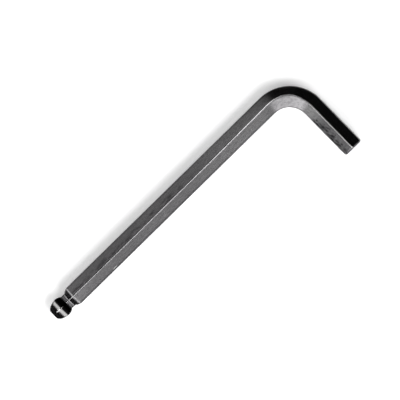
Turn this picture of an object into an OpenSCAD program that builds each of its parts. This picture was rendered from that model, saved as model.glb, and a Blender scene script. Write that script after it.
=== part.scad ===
// Long-arm hex key with a ball end, bent from one hexagonal steel bar.
// It lies flat on the lower corner edge of both arms. The long arm runs along +X
// to the bend and the short arm runs along -Y, so the upper corner edge faces +Z.

/* [Bar] */
// Width across the flats of the bar, which is the key's nominal size (mm)
across_flats = 12; // [10:0.5:17]
// How far each of the six corner edges is rounded back (mm)
corner_trim = 0.15; // [0.05:0.05:0.5]

/* [Arms] */
// Long arm, from the tip of the ball to the outside of the short arm (mm)
long_arm = 192.5; // [100:0.5:300]
// Short arm, from the outside of the long arm to its tip (mm)
short_arm = 57; // [45:0.5:100]
// Inside radius of the bend (mm)
bend_r = 12; // [6:0.5:20]
// Width of the edge break round the short arm's end face (mm)
end_chamfer = 0.5; // [0.2:0.1:1.5]

/* [Ball end] */
// How much narrower than the bar the ball is across its flats (mm)
ball_relief = 0.3; // [0.1:0.1:0.8]
// Straight land between the front and the back curve of the ball (mm)
ball_land = 0.6; // [0.2:0.1:2]
// Width across the flats of the flat face at the ball's tip (mm)
tip_flat = 5.3; // [3:0.1:8]
// Width across the flats of the neck behind the ball (mm)
neck_flats = 8.8; // [7:0.1:9.5]
// Length of the neck between the ball and the taper (mm)
neck_len = 2; // [1.2:0.1:6]
// Slope of the taper that leads from the neck up to the bar (degrees)
taper_angle = 26; // [20:1:45]
// Rounding of the rim where the taper meets the bar (mm)
rim_r = 2.5; // [0.5:0.1:5]

/* [Hidden] */
$fn = 96;

// Hexagon: half its width, its sharp corners and its rounded corner edges
half_flats = across_flats / 2;
sharp_r = half_flats / cos(30);
corner_r = sharp_r - corner_trim;

// Bend, on the bar's centre line
bend_mid_r = bend_r + half_flats;
bend_x = long_arm - half_flats - bend_mid_r;
short_len = short_arm - half_flats - bend_mid_r;

// Middle of the key's outline, and the height of its axis above the table
mid_x = long_arm / 2;
mid_y = half_flats - short_arm / 2;
axis_h = corner_r;

// Ball end, measured along the long arm from its tip
ball_r = half_flats - ball_relief / 2;
front_x = sqrt(pow(ball_r, 2) - pow(tip_flat / 2, 2));
back_x = front_x + ball_land;
neck_r = neck_flats / 2;
neck_x = back_x + sqrt(pow(ball_r, 2) - pow(neck_r, 2));
taper_x = neck_x + neck_len;

// The ball and the taper each run this far into the neck that joins them
seat = 0.5;

// Rim rounding: its circle touches the taper and just crosses the flat
rim_cross = 0.01;
rim_y = half_flats + rim_cross - rim_r;
rim_touch_y = rim_y + rim_r * cos(taper_angle);
rim_touch_x = taper_x + (rim_touch_y - neck_r) / tan(taper_angle);
rim_x = rim_touch_x + rim_r * sin(taper_angle);

// Side views that cut the bar reach this far from its axis, past the corners
reach = sharp_r + 2;

// Section of the bar: a hexagon with a corner up and its corners rounded back
module bar_section() {
    intersection() {
        rotate(90)
            circle(r = sharp_r, $fn = 6);
        circle(r = corner_r);
    }
}

// Straight bar from the origin along +X
module straight_bar(len) {
    rotate([90, 0, 90])
        linear_extrude(height = len)
            bar_section();
}

// Bar bent round a quarter turn, from the end of the long arm to the short arm
module quarter_bend() {
    rotate_extrude(angle = 90)
        translate([bend_mid_r, 0])
            bar_section();
}

// Cuts a side view, drawn with X along the arm, into all six flats. Each of the
// three cuts is turned in two steps, so that they agree closely at the corners.
module six_sided() {
    intersection_for (turn = [[60, -60], [120, -60], [60, 60]])
        rotate([turn[0], 0, 0])
            rotate([turn[1], 0, 0])
                linear_extrude(height = 2 * reach, center = true)
                    children();
}

// Side view of the ball: tip face, front curve, land, and back curve to the neck
module ball_profile() {
    intersection() {
        union() {
            translate([front_x, 0])
                circle(r = ball_r);
            translate([back_x, 0])
                circle(r = ball_r);
            translate([front_x, -ball_r])
                square([ball_land, 2 * ball_r]);
        }
        translate([0, -reach])
            square([neck_x + seat, 2 * reach]);
    }
}

// Side view of the taper with its rounded rim, running on along the bar
module taper_profile() {
    start_r = neck_r - seat * tan(taper_angle);
    polygon([
        [taper_x - seat, -start_r],
        [rim_touch_x, -rim_touch_y],
        [rim_x, -rim_y - rim_r],
        [rim_x, rim_y + rim_r],
        [rim_touch_x, rim_touch_y],
        [taper_x - seat, start_r]
    ]);
    for (side = [-1, 1])
        translate([rim_x, side * rim_y])
            circle(r = rim_r);
    translate([rim_x, -reach])
        square([bend_x + reach - rim_x, 2 * reach]);
}

// Side view of the short arm's end, with the edges of its face broken
module short_end_profile() {
    polygon([
        [-reach, -reach],
        [short_len - end_chamfer + half_flats - reach, -reach],
        [short_len, -half_flats + end_chamfer],
        [short_len, half_flats - end_chamfer],
        [short_len - end_chamfer + half_flats - reach, reach],
        [-reach, reach]
    ]);
}

// Ball with the neck behind it
module ball_end() {
    six_sided()
        ball_profile();
    six_sided()
        translate([back_x, -neck_r])
            square([taper_x + seat - back_x, neck_flats]);
}

// Long arm from the bend back to the neck, with the taper cut into its end
module long_arm_bar() {
    intersection() {
        translate([bend_x, 0, 0])
            rotate([0, 0, 180])
                straight_bar(bend_x);
        six_sided()
            taper_profile();
    }
}

// Short arm from the bend to its tip, drawn along +X
module short_arm_bar() {
    intersection() {
        straight_bar(short_len + end_chamfer);
        six_sided()
            short_end_profile();
    }
}

// The whole key, which is one piece of steel
module hex_key() {
    color("dimgray")
        translate([-mid_x, -mid_y, axis_h]) {
            ball_end();
            long_arm_bar();
            translate([bend_x, -bend_mid_r, 0]) {
                quarter_bend();
                translate([bend_mid_r, 0, 0])
                    rotate([0, 0, -90])
                        short_arm_bar();
            }
        }
}

hex_key();
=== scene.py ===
import math

import bpy
from mathutils import Matrix, Vector


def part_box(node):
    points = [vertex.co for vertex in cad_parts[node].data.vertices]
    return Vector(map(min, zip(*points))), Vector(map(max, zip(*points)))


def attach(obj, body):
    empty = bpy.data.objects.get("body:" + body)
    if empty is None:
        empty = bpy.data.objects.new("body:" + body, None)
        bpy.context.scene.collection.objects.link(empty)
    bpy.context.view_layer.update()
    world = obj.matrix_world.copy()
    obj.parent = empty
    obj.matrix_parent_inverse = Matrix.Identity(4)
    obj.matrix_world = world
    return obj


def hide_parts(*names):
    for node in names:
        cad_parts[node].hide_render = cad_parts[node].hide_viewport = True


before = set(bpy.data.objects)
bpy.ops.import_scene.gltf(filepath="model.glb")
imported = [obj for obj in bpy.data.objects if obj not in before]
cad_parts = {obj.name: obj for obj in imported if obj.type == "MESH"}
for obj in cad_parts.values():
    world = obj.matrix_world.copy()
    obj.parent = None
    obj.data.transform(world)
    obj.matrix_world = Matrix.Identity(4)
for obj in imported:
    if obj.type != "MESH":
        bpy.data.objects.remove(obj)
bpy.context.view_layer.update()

# A hex key with a ball end, in dark satin steel. All lengths are in metres, in the
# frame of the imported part: +X along the long arm to the bend, -Y along the short
# arm, +Z up from the surface that the key lies on.
MM = 0.001
KEY = "hex_key"


def mm(*lengths):
    """Lengths in millimetres, as metres."""
    return tuple(length * MM for length in lengths)


# The bar, and its bend on the centre line
HALF_FLATS = 6 * MM
CORNER_ROUND = 0.5 * MM
CORNER_STEPS = 5
FACE_CUTS = 6
BEND_RADIUS = 18 * MM
BEND_STEPS = 40
END_BREAK = 0.8 * MM

# The ball end, measured from its tip along the long arm. Its front is part of an
# ellipse and its back part of a circle, and they meet where the ball is widest.
BALL_HALF_FLATS = 5.85 * MM
BALL_WIDEST_X = 6 * MM
FRONT_LENGTH = 6.91 * MM
BACK_RADIUS = 6 * MM
NECK_HALF_FLATS = 4.4 * MM
TAPER_X = 12.2 * MM
TAPER_SLOPE = math.radians(30)
RIM_RADIUS = 3.2 * MM
ARC_STEP = math.radians(4.5)

# Where the bar's centre line runs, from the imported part's own box
KEY_LOW, KEY_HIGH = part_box(KEY)
TIP_X = KEY_LOW.x
SHORT_END_Y = KEY_LOW.y
SHORT_X = KEY_HIGH.x - HALF_FLATS
LONG_Y = KEY_HIGH.y - HALF_FLATS
AXIS_Z = (KEY_LOW.z + KEY_HIGH.z) / 2
BEND_X = SHORT_X - BEND_RADIUS
BEND_Y = LONG_Y - BEND_RADIUS

# Forms of the ball end that follow from its sizes
BACK_CENTRE_Y = BALL_HALF_FLATS - BACK_RADIUS
BACK_ANGLE = math.acos((NECK_HALF_FLATS - BACK_CENTRE_Y) / BACK_RADIUS)
FRONT_ANGLE = math.asin(BALL_WIDEST_X / FRONT_LENGTH)
NECK_X = BALL_WIDEST_X + BACK_RADIUS * math.sin(BACK_ANGLE)
RIM_CENTRE_Y = HALF_FLATS - RIM_RADIUS
RIM_TOUCH_Y = RIM_CENTRE_Y + RIM_RADIUS * math.cos(TAPER_SLOPE)
RIM_TOUCH_X = TAPER_X + (RIM_TOUCH_Y - NECK_HALF_FLATS) / math.tan(TAPER_SLOPE)
RIM_X = RIM_TOUCH_X + RIM_RADIUS * math.sin(TAPER_SLOPE)

# Rings of points close to the ends of a flat stretch, which keep it flat to the eye
HOLD = 0.4 * MM
# Rings along the long arm, measured back from the bend
ARM_RINGS = mm(0.4, 8, 16, 28, 40)

# How far the upper and lower corner edges drift outwards, at places measured
# along the bar from the start of the bend, both in millimetres
RIDGE_DRIFT = [(-40, 0.0), (-16, 0.35), (0, 0.6), (6.3, 0.9), (11, 1.3), (14, 1.4),
               (16, 1.25), (19, 0.75), (22, 0.35), (25, 0.12), (30, 0.0)]
MOST_DRIFT = 1.4 * MM

# How the edges that cross the bar are rounded: the width, and the steps in it
TIP_EDGE = (0.12 * MM, 3)
NECK_CREASE = (0.15 * MM, 3)
TAPER_CREASE = (0.3 * MM, 4)
END_FACE_EDGE = (0.2 * MM, 3)
END_BREAK_CREASE = (0.35 * MM, 3)

# Points this close are merged, and places this close count as the same
MERGE_WITHIN = 0.001 * MM
SAME_PLACE = 0.005 * MM
# Faces that meet at less than this angle are shaded as one surface
SMOOTH_BELOW = math.radians(18)

# Each point's place in the straight bar is stored on the mesh under this name
PLACE = "bar_place"

# Colours of the steel, by what has happened to it, and colours that paint shade and highlights on
# it
STEEL = (0.158, 0.155, 0.159, 1)
STAINED = (0.05, 0.0485, 0.051, 1)
SPOTTED = (0.02, 0.0195, 0.0205, 1)
# Bare metal, also used for painted highlights and a painted sheen
BARE_AND_HIGHLIGHT = (0.5, 0.498, 0.495, 1)
# Painted shade: near-black, standing in for dark surroundings reflected in the ball
PAINTED_SHADE_BLACK = (0.012, 0.0118, 0.0122, 1)
# Plain steel for a painted highlight band on the ball
HIGHLIGHT_BAND_STEEL = (0.16, 0.158, 0.157, 1)
EDGE_TINT = (0.25, 0.25, 0.25, 1)

# In what follows, a grain is the size of its features along, across and up the bar,
# in millimetres, then its detail and its roughness. A ramp is where it starts and
# ends, then its values there, which are 0 and 1 where none are given. A stretch is
# where it starts, is full, is last full, and ends. Places along the bar are counted
# from the ball's tip, and places across it from its centre line, positive towards
# the outside of the bend. A bump is its strength and its depth.

# Wear on the corner edges. Nearness to one counts in sixths of a turn round the bar.
NEAR_CORNER = (0.03, 0.1, 1.0, 0.0)
CORNER_WEAR = (*mm(190, 200), 0.02, 0.5)
CORNER_PATCH_GRAIN = ((6, 1, 1), 3, 0.55)
CORNER_PATCHES = (0.3, 0.55, 0.4, 1.0)
CORNER_ROUGHNESS = 0.31

# Streaks on the long arm
STREAK_GRAIN = ((6, 2, 2), 4, 0.7)
STREAKS = (0.38, 0.62)
STREAKS_ACROSS = mm(0.3, 1.0, 2.2, 3.8)
STREAKS_FADE = (*mm(95, 135), 1.0, 0.0)

# Spots on the short arm. The last two ramps lower the noise where spots are fewer.
SPOT_GRAIN = ((2, 0.9, 0.9), 2, 0.6)
SPOTS = (0.48, 0.53)
SPOTS_ACROSS = (*mm(-4.5, -0.8), 0.0, -0.15)
SPOTS_BEGIN = (*mm(196, 206), -0.2, 0.0)

# Painted sheen on the inner side past the bend, standing in for a reflection
SHEEN_ALONG = mm(193.5, 197, 197.5, 211)
SHEEN_ON_ARM = (*mm(200, 212), 0.0, 0.15)
SHEEN_ACROSS = (*mm(-1, 0.5), 0.6, 0.0)

# Paler and darker stretches of colour along the long arm, and how much of its colour each takes
PALER_ALONG = mm(100, 138, 160, 172)
PALER_SHARE = 0.13
DULLER_ALONG = mm(18, 32, 56, 78)
DULLER_SHARE = 0.18

# Marks on the long arm: place along and across the bar, length, width, slant, depth.
# Each is an ellipse, and 1 on the ramp is its outline.
NICK = (*mm(43.5, -5.1, 3.2, 0.45), 0.05, 0.8)
SCRATCH = (*mm(84.8, -3.1, 2.4, 0.7), 1.0, 0.15)
MARK_EDGE = (0.6, 1.4)

# The bar's drawn finish
DRAWN_CLOUD_GRAIN = ((2, 1, 1), 5, 0.55)
DRAWN_CLOUDS = (0.4, 0.7, 0.0, 0.4)
DRAWN_LINES_GRAIN = ((40, 0.12, 0.12), 2, 0.55)
DRAWN_ROUGHNESS = (0.0, 1.0, 0.2, 0.27)
DRAWN_BUMP = (0.15, 0.01 * MM)

# The ball end's turned finish, with painted shade on the ball and painted highlights on it, the
# taper and the rim
TURNED_CLOUD_GRAIN = ((1.5, 1.2, 1.2), 3, 0.55)
TURNED_CLOUDS = (0.4, 0.8, 0.0, 0.7)
# Painted shade: near-black on the ball up to its neck, standing in for dark surroundings
# reflected in it
BALL_PAINTED_SHADE = (*mm(9.55, 9.85), 1.0, 0.0)
# Painted highlight: a band round the ball where it stays plain steel
BALL_HIGHLIGHT_BAND = mm(1.65, 3.35, 5.15, 6.35)
# Painted highlights: paler steel on the ball's ridges, the taper's corner edges and the rim
BALL_RIDGE_HIGHLIGHT = mm(1.9, 3.4, 5.2, 6.7)
TAPER_CORNER_HIGHLIGHT = (*mm(12.0, 12.6), 0.0, 0.55)
RIM_HIGHLIGHT = (*mm(14.6, 15.6), 0.0, 0.06)
TURNING_RINGS_GRAIN = ((0.1, 6, 6), 2, 0.55)
TURNED_ROUGHNESS = (0.2, 0.8, 0.13, 0.18)
RIM_ROUGHNESS = (*mm(13.8, 14.8), 0.0, 0.25)
TURNED_BUMP = (0.1, 0.01 * MM)

# The end face's ground finish
GROUND_LINES_GRAIN = ((6, 0.14, 8), 3, 0.55)
GROUND_CLOUD_GRAIN = ((3, 1.6, 2.2), 3, 0.55)
GROUND_CLOUDS = (0.42, 0.7, 0.0, 0.7)
GROUND_SCORES = (0.55, 0.75, 0.0, 0.3)
GROUND_ROUGHNESS = (0.3, 0.7, 0.24, 0.34)
GROUND_BUMP = (0.3, 0.02 * MM)

# The paper floor: its flat part, and the edge that curves up round it
FLOOR_RADIUS = 3.0
FLOOR_SIDES = 96
FLOOR_RISE = 0.1
FLOOR_RISE_STEPS = 8
PAPER_WHITE = (0.8, 0.8, 0.8, 1)
PAPER_ROUGHNESS = 0.9
PAPER_GLOW = 0.42

# Lamps: azimuth and elevation in degrees, distance, width, height, and brightness,
# where 1 shows as plain white in a mirror
LAMPS = {
    "main": (-12, 59, 2, 1.0, 0.9, 11),
    "long_bank": (45.5, 32.5, 8, 10.2, 2.8, 3.75),
    "front_fill": (-3, 31, 8, 5.0, 2.3, 0.3),
    "back_bank": (157, 30, 8, 3.4, 2.3, 3.6),
    "back_fill": (177, 29, 8, 2.6, 2.3, 0.4),
    "side_fill": (95, 29, 8, 5.6, 2.3, 0.65),
    "top": (90, 62, 2, 0.7, 0.6, 6),
}
ROOM_GREY = (0.01, 0.01, 0.01, 1)

# The photograph's view: how the camera turns and leans, in degrees, the point that
# it aims at, how wide the frame is there, and how far back it stands
VIEW_TURN, SIDE_LEAN, END_LEAN = -44.37, 3.27, 1.1
AIM_X, AIM_Y = mm(7.89, 11.18)
FRAME_WIDTH = 225.05 * MM
VIEW_DISTANCE = 8


def start_mesh_work():
    """Leaves nothing selected, so that each operator acts on the new piece alone."""
    if bpy.context.object and bpy.context.object.mode != "OBJECT":
        bpy.ops.object.mode_set(mode="OBJECT")
    bpy.ops.object.select_all(action="DESELECT")


def select_edges(piece, chosen):
    """Selects the edges whose two end points, taken together, pass a test."""
    bpy.ops.mesh.select_all(action="DESELECT")
    bpy.ops.object.mode_set(mode="OBJECT")
    points = piece.data.vertices
    for edge in piece.data.edges:
        edge.select = chosen([points[i].co for i in edge.vertices])
    bpy.ops.object.mode_set(mode="EDIT")


def bar_outline():
    """One ring round the bar at the short arm's end: a hexagon with rounded corners."""
    bpy.ops.mesh.primitive_circle_add(
        vertices=6, radius=HALF_FLATS / math.cos(math.pi / 6), fill_type="NGON",
        location=(SHORT_X, SHORT_END_Y, AXIS_Z), rotation=(math.pi / 2, 0, 0))
    ring = bpy.context.object
    ring.name = "steel_key"
    bpy.ops.object.transform_apply(location=True, rotation=True, scale=True)
    bpy.ops.object.mode_set(mode="EDIT")
    bpy.ops.mesh.select_mode(type="EDGE")
    bpy.ops.mesh.select_all(action="SELECT")
    bpy.ops.mesh.bevel(offset=CORNER_ROUND, segments=CORNER_STEPS, affect="VERTICES")
    select_edges(ring, lambda ends: (ends[0] - ends[1]).length > HALF_FLATS / 2)
    bpy.ops.mesh.subdivide(number_cuts=FACE_CUTS)
    bpy.ops.mesh.select_all(action="SELECT")
    bpy.ops.mesh.delete(type="ONLY_FACE")
    bpy.ops.mesh.select_all(action="SELECT")
    return ring


def pull_ring(move, growth=1.0):
    """Draws the selected ring on by one step and sets its new size."""
    bpy.ops.mesh.extrude_region_move(TRANSFORM_OT_translate={"value": move})
    if growth != 1.0:
        piece = bpy.context.object
        piece.update_from_editmode()
        ring = [point.co for point in piece.data.vertices if point.select]
        middle = sum(ring, Vector()) / len(ring)
        bpy.ops.transform.resize(value=(growth,) * 3, center_override=middle)


def short_arm():
    """From the end face, over its edge break, to the bend."""
    shrunk = (HALF_FLATS - END_BREAK) / HALF_FLATS
    middle = (SHORT_X, SHORT_END_Y, AXIS_Z)
    bpy.ops.transform.resize(value=(shrunk,) * 3, center_override=middle)
    pull_ring((0, END_BREAK, 0), 1 / shrunk)
    pull_ring((0, HOLD, 0))
    pull_ring((0, BEND_Y - SHORT_END_Y - END_BREAK - 2 * HOLD, 0))
    pull_ring((0, HOLD, 0))


def bend():
    """A quarter turn from the short arm to the long arm."""
    bpy.ops.mesh.spin(
        steps=BEND_STEPS, angle=-math.pi / 2, center=(BEND_X, BEND_Y, AXIS_Z),
        axis=(0, 0, 1))


def arc_steps(start, end):
    """Angles from start to end, about one arc step apart, without the first."""
    count = max(1, round(abs(end - start) / ARC_STEP))
    return [start + (end - start) * (i + 1) / count for i in range(count)]


def ball_end_stations():
    """Places along the long arm, from its rim to the tip, each with its half width."""
    stations = [(RIM_X, HALF_FLATS)]
    for a in arc_steps(0, TAPER_SLOPE):
        x = RIM_X - RIM_RADIUS * math.sin(a)
        stations.append((x, RIM_CENTRE_Y + RIM_RADIUS * math.cos(a)))
    for x in (TAPER_X, TAPER_X - HOLD, NECK_X + HOLD, NECK_X):
        stations.append((x, NECK_HALF_FLATS))
    for a in arc_steps(BACK_ANGLE, 0):
        x = BALL_WIDEST_X + BACK_RADIUS * math.sin(a)
        stations.append((x, BACK_CENTRE_Y + BACK_RADIUS * math.cos(a)))
    for a in arc_steps(0, FRONT_ANGLE):
        x = BALL_WIDEST_X - FRONT_LENGTH * math.sin(a)
        stations.append((x, BALL_HALF_FLATS * math.cos(a)))
    return stations


def long_arm():
    """From the bend to the rim, then over the taper, the neck and the ball."""
    x, width = BEND_X - TIP_X, HALF_FLATS
    rings = [x - back for back in ARM_RINGS] + [RIM_X + HOLD]
    stations = [(ring, HALF_FLATS) for ring in rings] + ball_end_stations()
    for next_x, next_width in stations:
        pull_ring((next_x - x, 0, 0), next_width / width)
        x, width = next_x, next_width


def close_end(piece, at_end):
    """Fills the ring at one end of the bar with a flat face."""
    select_edges(piece, lambda ends: all(at_end(p) for p in ends))
    bpy.ops.mesh.edge_face_add()


def soften_edges(piece, at_edge, width, steps):
    """Rounds the ring of edges that crosses the bar at one place."""
    select_edges(piece, lambda ends: all(at_edge(p) for p in ends))
    bpy.ops.mesh.bevel(offset=width, segments=steps, affect="EDGES")


def near(value, goal):
    """True where two places agree to a few thousandths of a millimetre."""
    return abs(value - goal) < SAME_PLACE


def straightened(point):
    """Where a point would be if the bar were straight, and which way is outwards there."""
    x, y = point.x - BEND_X, point.y - BEND_Y
    quarter = math.pi / 2
    if x <= 0:
        along, across, outwards = x, y - BEND_RADIUS, (0, 1)
    elif y <= 0:
        along, across, outwards = quarter * BEND_RADIUS - y, x - BEND_RADIUS, (1, 0)
    else:
        along = (quarter - math.atan2(y, x)) * BEND_RADIUS
        across = math.hypot(x, y) - BEND_RADIUS
        outwards = (x / math.hypot(x, y), y / math.hypot(x, y))
    return Vector((along, across, point.z - AXIS_Z)), outwards


def record_bar_place(piece):
    """Stores each point's place in the straight bar: along it, across it and up."""
    stored = piece.data.attributes.new(PLACE, "FLOAT_VECTOR", "POINT")
    from_tip = Vector((BEND_X - TIP_X, 0, 0))
    for point, value in zip(piece.data.vertices, stored.data):
        value.vector = straightened(point.co)[0] + from_tip


def drift_at(along):
    """How far out the corner edges lie at one place along the bar."""
    for (start, low), (end, high) in zip(RIDGE_DRIFT, RIDGE_DRIFT[1:]):
        if start * MM <= along < end * MM:
            share = (along / MM - start) / (end - start)
            eased = share * share * (3 - 2 * share)
            return (low + (high - low) * eased) * MM
    return 0.0


def drift_ridges(piece):
    """Bending has pushed the upper and lower corner edges outwards, but not the sides."""
    names = {"X": "drift_x", "Y": "drift_y"}
    groups = [piece.vertex_groups.new(name=name) for name in names.values()]
    for point in piece.data.vertices:
        place, outwards = straightened(point.co)
        to_ridge = max(0.0, 1 - abs(place.y) / HALF_FLATS)
        share = drift_at(place.x) * to_ridge / MOST_DRIFT
        for group, part in zip(groups, outwards):
            group.add([point.index], share * part, "REPLACE")
    for axis, name in names.items():
        drift = piece.modifiers.new(name, "DISPLACE")
        drift.direction = axis
        drift.vertex_group = name
        drift.mid_level = 0.0
        drift.strength = MOST_DRIFT
        bpy.ops.object.modifier_apply(modifier=name)
    for name in names.values():
        piece.vertex_groups.remove(piece.vertex_groups[name])


def build_key():
    """The whole key, as one closed steel body."""
    start_mesh_work()
    key = bar_outline()
    short_arm()
    bend()
    long_arm()
    close_end(key, lambda p: near(p.x, TIP_X))
    close_end(key, lambda p: near(p.y, SHORT_END_Y))
    bpy.ops.mesh.select_all(action="SELECT")
    bpy.ops.mesh.remove_doubles(threshold=MERGE_WITHIN)
    bpy.ops.mesh.normals_make_consistent(inside=False)
    soften_edges(key, lambda p: near(p.x, TIP_X), *TIP_EDGE)
    soften_edges(key, lambda p: near(p.x, TIP_X + NECK_X), *NECK_CREASE)
    soften_edges(key, lambda p: near(p.x, TIP_X + TAPER_X), *TAPER_CREASE)
    soften_edges(key, lambda p: near(p.y, SHORT_END_Y), *END_FACE_EDGE)
    soften_edges(key, lambda p: near(p.y, SHORT_END_Y + END_BREAK), *END_BREAK_CREASE)
    bpy.ops.object.mode_set(mode="OBJECT")
    record_bar_place(key)
    drift_ridges(key)
    bpy.ops.object.shade_smooth_by_angle(angle=SMOOTH_BELOW)
    return key


def add_node(tree, kind, inputs=None, **settings):
    """Adds a shader node, with its settings, and links or sets its inputs."""
    made = tree.nodes.new(kind)
    for name, value in settings.items():
        setattr(made, name, value)
    for name, value in (inputs or {}).items():
        if isinstance(value, bpy.types.NodeSocket):
            tree.links.new(value, made.inputs[name])
        else:
            made.inputs[name].default_value = value
    return made


def calculate(tree, operation, *values):
    """One step of arithmetic in a shader."""
    step = add_node(tree, "ShaderNodeMath", dict(enumerate(values)), operation=operation)
    return step.outputs[0]


def ramp_between(tree, value, low, high, to_low=0.0, to_high=1.0):
    """Carries a value smoothly from one range to another."""
    inputs = {"Value": value, "From Min": low, "From Max": high,
              "To Min": to_low, "To Max": to_high}
    step = add_node(tree, "ShaderNodeMapRange", inputs, interpolation_type="SMOOTHSTEP")
    return step.outputs["Result"]


def between(tree, value, start, full, still_full, end):
    """One from full to still_full, and nothing before start and after end."""
    rise = ramp_between(tree, value, start, full)
    fall = ramp_between(tree, value, still_full, end, 1.0, 0.0)
    return calculate(tree, "MULTIPLY", rise, fall)


def grain(tree, place, size, detail, roughness):
    """Noise on the bar, with features of a size in millimetres along, across and up."""
    scale = tuple(1 / (s * MM) for s in size)
    mapped = add_node(tree, "ShaderNodeMapping", {"Vector": place, "Scale": scale})
    inputs = {"Vector": mapped.outputs[0], "Scale": 1.0, "Detail": detail,
              "Roughness": roughness}
    return add_node(tree, "ShaderNodeTexNoise", inputs).outputs["Fac"]


def mix_colour(tree, amount, first, second):
    """Goes from the first colour to the second as the amount goes from 0 to 1."""
    step = add_node(tree, "ShaderNodeMix", data_type="RGBA")
    for socket, value in ((0, amount), (6, first), (7, second)):
        if isinstance(value, bpy.types.NodeSocket):
            tree.links.new(value, step.inputs[socket])
        else:
            step.inputs[socket].default_value = value
    return step.outputs[2]


def emboss(tree, shader, height, strength, depth):
    """Makes a pattern stand out from the surface."""
    bump = add_node(tree, "ShaderNodeBump",
                    {"Height": height, "Strength": strength, "Distance": depth})
    tree.links.new(bump.outputs[0], shader.inputs["Normal"])


def steel_shader(name):
    """A new metal material and its shader, with the bar's own places to read."""
    steel = bpy.data.materials.new(name)
    steel.use_nodes = True
    tree = steel.node_tree
    shader = tree.nodes["Principled BSDF"]
    shader.inputs["Metallic"].default_value = 1.0
    shader.inputs["Specular Tint"].default_value = EDGE_TINT
    place = add_node(tree, "ShaderNodeAttribute", attribute_name=PLACE).outputs["Vector"]
    return steel, tree, shader, place


def corner_nearness(tree, place):
    """One at the bar's six corner edges, falling to nothing about 0.7 mm away."""
    parts = add_node(tree, "ShaderNodeSeparateXYZ", {0: place})
    angle = calculate(tree, "ARCTAN2", parts.outputs["Z"], parts.outputs["Y"])
    sixths = calculate(tree, "MULTIPLY_ADD", angle, 3 / math.pi, 0.5)
    from_corner = calculate(tree, "PINGPONG", sixths, 0.5)
    return ramp_between(tree, from_corner, *NEAR_CORNER)


def long_arm_streaks(tree, place, parts):
    """Dark streaks on the long arm, beside its upper corner edge on the outer side."""
    patches = grain(tree, place, *STREAK_GRAIN)
    streaks = ramp_between(tree, patches, *STREAKS)
    beside = between(tree, parts.outputs["Y"], *STREAKS_ACROSS)
    on_arm = ramp_between(tree, parts.outputs["X"], *STREAKS_FADE)
    return calculate(tree, "MULTIPLY", calculate(tree, "MULTIPLY", streaks, beside), on_arm)


def short_arm_mottling(tree, place, parts):
    """Dark spots on the short arm, closer together towards the inside of the bend."""
    fine = grain(tree, place, *SPOT_GRAIN)
    beside = ramp_between(tree, parts.outputs["Y"], *SPOTS_ACROSS)
    on_arm = ramp_between(tree, parts.outputs["X"], *SPOTS_BEGIN)
    crowding = calculate(tree, "ADD", beside, on_arm)
    return ramp_between(tree, calculate(tree, "ADD", fine, crowding), *SPOTS)


def painted_bend_sheen(tree, parts):
    """A painted sheen on the inner side, just past the bend and faintly along the short arm,
    standing in for a reflection.
    """
    along = between(tree, parts.outputs["X"], *SHEEN_ALONG)
    inner = ramp_between(tree, parts.outputs["Y"], *SHEEN_ACROSS)
    on_arm = ramp_between(tree, parts.outputs["X"], *SHEEN_ON_ARM)
    return calculate(tree, "MULTIPLY", calculate(tree, "MAXIMUM", along, on_arm), inner)


def tone_along_long_arm(tree, parts, colour):
    """The long arm's colour turns paler towards the bend, and darker towards the ball."""
    paler = between(tree, parts.outputs["X"], *PALER_ALONG)
    duller = between(tree, parts.outputs["X"], *DULLER_ALONG)
    paler = calculate(tree, "MULTIPLY", paler, PALER_SHARE)
    duller = calculate(tree, "MULTIPLY", duller, DULLER_SHARE)
    return mix_colour(tree, duller, mix_colour(tree, paler, colour, BARE_AND_HIGHLIGHT), STAINED)


def mark_here(tree, parts, along, across, length, width, slant, depth):
    """The depth of a narrow mark on the upper side, at a place and slant on the bar."""
    run = calculate(tree, "SUBTRACT", parts.outputs["X"], along)
    side = calculate(tree, "SUBTRACT", parts.outputs["Y"], across)
    off = calculate(tree, "SUBTRACT", side, calculate(tree, "MULTIPLY", run, slant))
    run = calculate(tree, "DIVIDE", run, length / 2)
    off = calculate(tree, "DIVIDE", off, width / 2)
    squares = calculate(tree, "ADD", calculate(tree, "POWER", run, 2.0),
                        calculate(tree, "POWER", off, 2.0))
    inside = ramp_between(tree, squares, *MARK_EDGE, depth, 0.0)
    on_top = calculate(tree, "GREATER_THAN", parts.outputs["Z"], 0.0)
    return calculate(tree, "MULTIPLY", inside, on_top)


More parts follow.
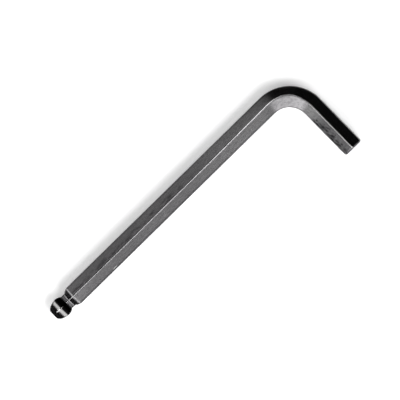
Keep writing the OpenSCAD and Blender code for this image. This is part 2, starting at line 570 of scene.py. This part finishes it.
def drawn_steel():
    """The bar's own finish: dark satin, with stains, fine drawing lines and bare corners, and a
    painted sheen past the bend.
    """
    steel, tree, shader, place = steel_shader("drawn_steel")
    parts = add_node(tree, "ShaderNodeSeparateXYZ", {0: place})
    streaks = long_arm_streaks(tree, place, parts)
    spots = short_arm_mottling(tree, place, parts)
    cloud = ramp_between(tree, grain(tree, place, *DRAWN_CLOUD_GRAIN), *DRAWN_CLOUDS)
    stain = calculate(tree, "MAXIMUM", streaks, cloud)
    lines = grain(tree, place, *DRAWN_LINES_GRAIN)
    at_corner = corner_nearness(tree, place)
    wear_and_highlight = calculate(tree, "MULTIPLY", at_corner,
                     ramp_between(tree, parts.outputs["X"], *CORNER_WEAR))
    patchy = ramp_between(tree, grain(tree, place, *CORNER_PATCH_GRAIN), *CORNER_PATCHES)
    wear_and_highlight = calculate(tree, "MULTIPLY", wear_and_highlight, patchy)
    # Painted sheen on the inner side past the bend
    colour = mix_colour(tree, painted_bend_sheen(tree, parts), STEEL, BARE_AND_HIGHLIGHT)
    colour = tone_along_long_arm(tree, parts, colour)
    colour = mix_colour(tree, stain, colour, STAINED)
    colour = mix_colour(tree, spots, colour, SPOTTED)
    colour = mix_colour(tree, wear_and_highlight, colour, BARE_AND_HIGHLIGHT)
    for mark in (NICK, SCRATCH):
        colour = mix_colour(tree, mark_here(tree, parts, *mark), colour, BARE_AND_HIGHLIGHT)
    tree.links.new(colour, shader.inputs["Base Color"])
    scuffed = calculate(tree, "MULTIPLY", at_corner, CORNER_ROUGHNESS)
    rough = calculate(tree, "MAXIMUM", ramp_between(tree, stain, *DRAWN_ROUGHNESS), scuffed)
    tree.links.new(rough, shader.inputs["Roughness"])
    emboss(tree, shader, lines, *DRAWN_BUMP)
    return steel


def turned_steel():
    """The machined finish of the ball, its neck and taper: smoother, with turning rings, and with
    painted shade on the ball and painted highlights on its band, its ridges, the taper's corners
    and the rim.
    """
    steel, tree, shader, place = steel_shader("turned_steel")
    along = add_node(tree, "ShaderNodeSeparateXYZ", {0: place}).outputs["X"]
    cloud = ramp_between(tree, grain(tree, place, *TURNED_CLOUD_GRAIN), *TURNED_CLOUDS)
    ball_shade = ramp_between(tree, along, *BALL_PAINTED_SHADE)
    highlight_band = between(tree, along, *BALL_HIGHLIGHT_BAND)
    ridge_highlight = between(tree, along, *BALL_RIDGE_HIGHLIGHT)
    taper_highlight = ramp_between(tree, along, *TAPER_CORNER_HIGHLIGHT)
    # Painted highlights on the ball's ridges, the taper's corners and the rim
    wear_and_highlight = calculate(tree, "MULTIPLY", corner_nearness(tree, place),
                     calculate(tree, "MAXIMUM", ridge_highlight, taper_highlight))
    wear_and_highlight = calculate(tree, "MAXIMUM", wear_and_highlight, ramp_between(tree, along, *RIM_HIGHLIGHT))
    colour = mix_colour(tree, cloud, STEEL, STAINED)
    # Painted shade on the ball
    colour = mix_colour(tree, ball_shade, colour, PAINTED_SHADE_BLACK)
    # Painted highlight band round the ball
    colour = mix_colour(tree, highlight_band, colour, HIGHLIGHT_BAND_STEEL)
    colour = mix_colour(tree, wear_and_highlight, colour, BARE_AND_HIGHLIGHT)
    tree.links.new(colour, shader.inputs["Base Color"])
    rings = grain(tree, place, *TURNING_RINGS_GRAIN)
    rough = calculate(tree, "MAXIMUM", ramp_between(tree, rings, *TURNED_ROUGHNESS),
                      ramp_between(tree, along, *RIM_ROUGHNESS))
    tree.links.new(rough, shader.inputs["Roughness"])
    emboss(tree, shader, rings, *TURNED_BUMP)
    return steel


def ground_steel():
    """The short arm's end face: ground flat, with fine straight lines and a few stains."""
    steel, tree, shader, place = steel_shader("ground_steel")
    lines = grain(tree, place, *GROUND_LINES_GRAIN)
    cloud = ramp_between(tree, grain(tree, place, *GROUND_CLOUD_GRAIN), *GROUND_CLOUDS)
    colour = mix_colour(tree, cloud, STEEL, STAINED)
    colour = mix_colour(tree, ramp_between(tree, lines, *GROUND_SCORES), colour, BARE_AND_HIGHLIGHT)
    tree.links.new(colour, shader.inputs["Base Color"])
    rough = ramp_between(tree, lines, *GROUND_ROUGHNESS)
    tree.links.new(rough, shader.inputs["Roughness"])
    emboss(tree, shader, lines, *GROUND_BUMP)
    return steel


def finish_key(key):
    """Gives the bar its drawn finish, the ball end the turned one, and the end face its own."""
    for finish in (drawn_steel(), turned_steel(), ground_steel()):
        key.data.materials.append(finish)
    turned, ground = 1, 2
    for face in key.data.polygons:
        if face.center.x < TIP_X + RIM_X:
            face.material_index = turned
        elif near(face.center.y, SHORT_END_Y):
            face.material_index = ground


def pale_floor():
    """A wide white floor whose edge curves up a little, so that it fills low views too."""
    start_mesh_work()
    bpy.ops.mesh.primitive_circle_add(vertices=FLOOR_SIDES, radius=FLOOR_RADIUS)
    floor = bpy.context.object
    floor.name = "floor"
    bpy.ops.object.mode_set(mode="EDIT")
    bpy.ops.mesh.select_mode(type="EDGE")
    bpy.ops.mesh.select_all(action="SELECT")
    radius, step = FLOOR_RADIUS, math.pi / 2 / FLOOR_RISE_STEPS
    for a in [step * (i + 1) for i in range(FLOOR_RISE_STEPS)]:
        wider = FLOOR_RADIUS + FLOOR_RISE * math.sin(a)
        lift = FLOOR_RISE * (math.cos(a - step) - math.cos(a))
        bpy.ops.mesh.extrude_region_move(TRANSFORM_OT_translate={"value": (0, 0, lift)})
        bpy.ops.transform.resize(value=(wider / radius, wider / radius, 1),
                                 center_override=(0, 0, 0))
        radius = wider
    select_edges(floor, lambda ends: all(p.z < MM for p in ends))
    bpy.ops.mesh.edge_face_add()
    bpy.ops.mesh.select_all(action="SELECT")
    bpy.ops.mesh.normals_make_consistent(inside=True)
    bpy.ops.object.mode_set(mode="OBJECT")
    bpy.ops.object.shade_smooth()
    floor.data.materials.append(white_paper())


def white_paper():
    """White paper that shows as white to the eye and to metal, and still takes a shadow."""
    paper = bpy.data.materials.new("white_paper")
    paper.use_nodes = True
    tree = paper.node_tree
    shader = tree.nodes["Principled BSDF"]
    shader.inputs["Base Color"].default_value = PAPER_WHITE
    shader.inputs["Roughness"].default_value = PAPER_ROUGHNESS
    shader.inputs["Specular IOR Level"].default_value = 0.0
    rays = add_node(tree, "ShaderNodeLightPath")
    seen = calculate(tree, "MAXIMUM", rays.outputs["Is Camera Ray"],
                     rays.outputs["Is Glossy Ray"])
    seen = calculate(tree, "MAXIMUM", seen, rays.outputs["Is Transmission Ray"])
    glow = calculate(tree, "MULTIPLY", seen, PAPER_GLOW)
    shader.inputs["Emission Color"].default_value = (1, 1, 1, 1)
    tree.links.new(glow, shader.inputs["Emission Strength"])
    return paper


def direction(azimuth, elevation):
    """A unit vector. Azimuth is counted from -Y towards -X, in degrees."""
    a, e = math.radians(azimuth), math.radians(elevation)
    return Vector((-math.sin(a) * math.cos(e), -math.cos(a) * math.cos(e), math.sin(e)))


def softbox(name, place, width, height, brightness):
    """A level rectangular lamp that faces the key."""
    lamp = bpy.data.lights.new(name, "AREA")
    lamp.shape = "RECTANGLE"
    lamp.size = width
    lamp.size_y = height
    lamp.energy = brightness * math.pi * width * height
    box = bpy.data.objects.new(name, lamp)
    back = place.normalized()
    right = Vector((0, 0, 1)).cross(back).normalized()
    up = back.cross(right)
    box.matrix_world = Matrix.Translation(place) @ Matrix((right, up, back)).transposed().to_4x4()
    bpy.context.collection.objects.link(box)


def studio_lights():
    """A main lamp past the short arm, softer ones all round, and a nearly black room."""
    for name, (azimuth, elevation, distance, width, height, brightness) in LAMPS.items():
        softbox(name, direction(azimuth, elevation) * distance, width, height, brightness)
    room = bpy.data.worlds.new("studio")
    room.use_nodes = True
    background = room.node_tree.nodes["Background"]
    background.inputs["Color"].default_value = ROOM_GREY
    background.inputs["Strength"].default_value = 1.0
    bpy.context.scene.world = room


def photo_camera():
    """Looks down, leaning a little past the short arm, from so far that all lines stay true."""
    turn, side_lean, end_lean = (math.radians(a) for a in (VIEW_TURN, SIDE_LEAN, END_LEAN))
    data = bpy.data.cameras.new("camera")
    data.lens = data.sensor_width * VIEW_DISTANCE / FRAME_WIDTH
    camera = bpy.data.objects.new("camera", data)
    rotation = (Matrix.Rotation(side_lean, 4, "Y") @ Matrix.Rotation(end_lean, 4, "X")
                @ Matrix.Rotation(turn, 4, "Z"))
    aim = Vector((AIM_X, AIM_Y, AXIS_Z))
    back = rotation @ Vector((0, 0, VIEW_DISTANCE))
    camera.matrix_world = Matrix.Translation(aim + back) @ rotation
    bpy.context.collection.objects.link(camera)
    bpy.context.scene.camera = camera


photo_camera()
key = build_key()
finish_key(key)
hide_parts(KEY)
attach(key, "root")
pale_floor()
studio_lights()
bpy.context.scene.view_settings.view_transform = "Standard"
